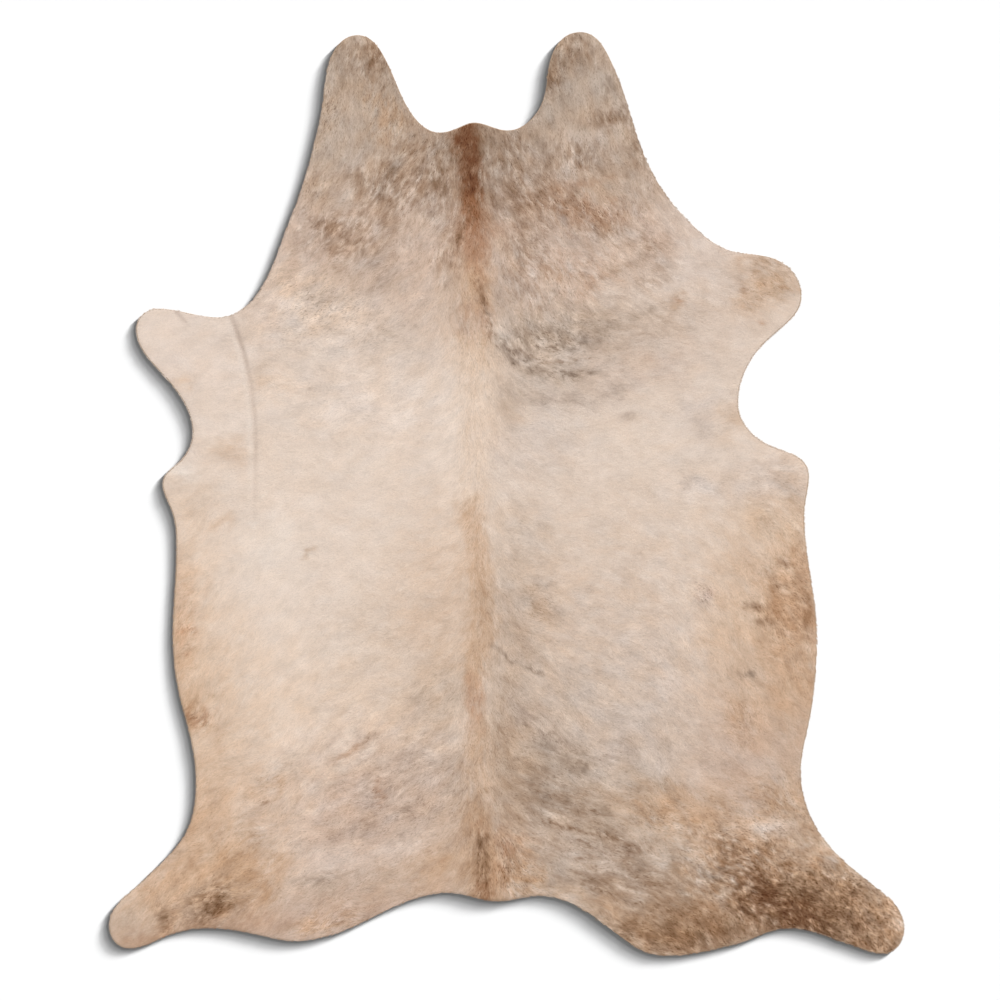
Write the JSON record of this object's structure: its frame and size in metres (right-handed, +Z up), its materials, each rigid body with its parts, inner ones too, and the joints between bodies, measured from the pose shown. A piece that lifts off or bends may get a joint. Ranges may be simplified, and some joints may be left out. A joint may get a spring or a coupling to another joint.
{
  "type": "cowhide rug",
  "caption": "Whole tanned cowhide with short brindled hair, trimmed to its natural leg and neck lobes and laid flat, coat up, as a floor rug.",
  "frame": {"origin": "on the surface the hide lies on, under the middle of its bounding box", "axes": "+X to the right of the hide seen from above, +Y along the spine towards the neck, +Z up through the coat"},
  "size_m": [1.83, 2.126, 0.0062],
  "materials": {
    "hide": "short hair coat, cream to tan with grey-brown brindling, matt; suede underside"
  },
  "bodies": {
    "root": {"cowhide": "hide"}
  },
  "joints": []
}
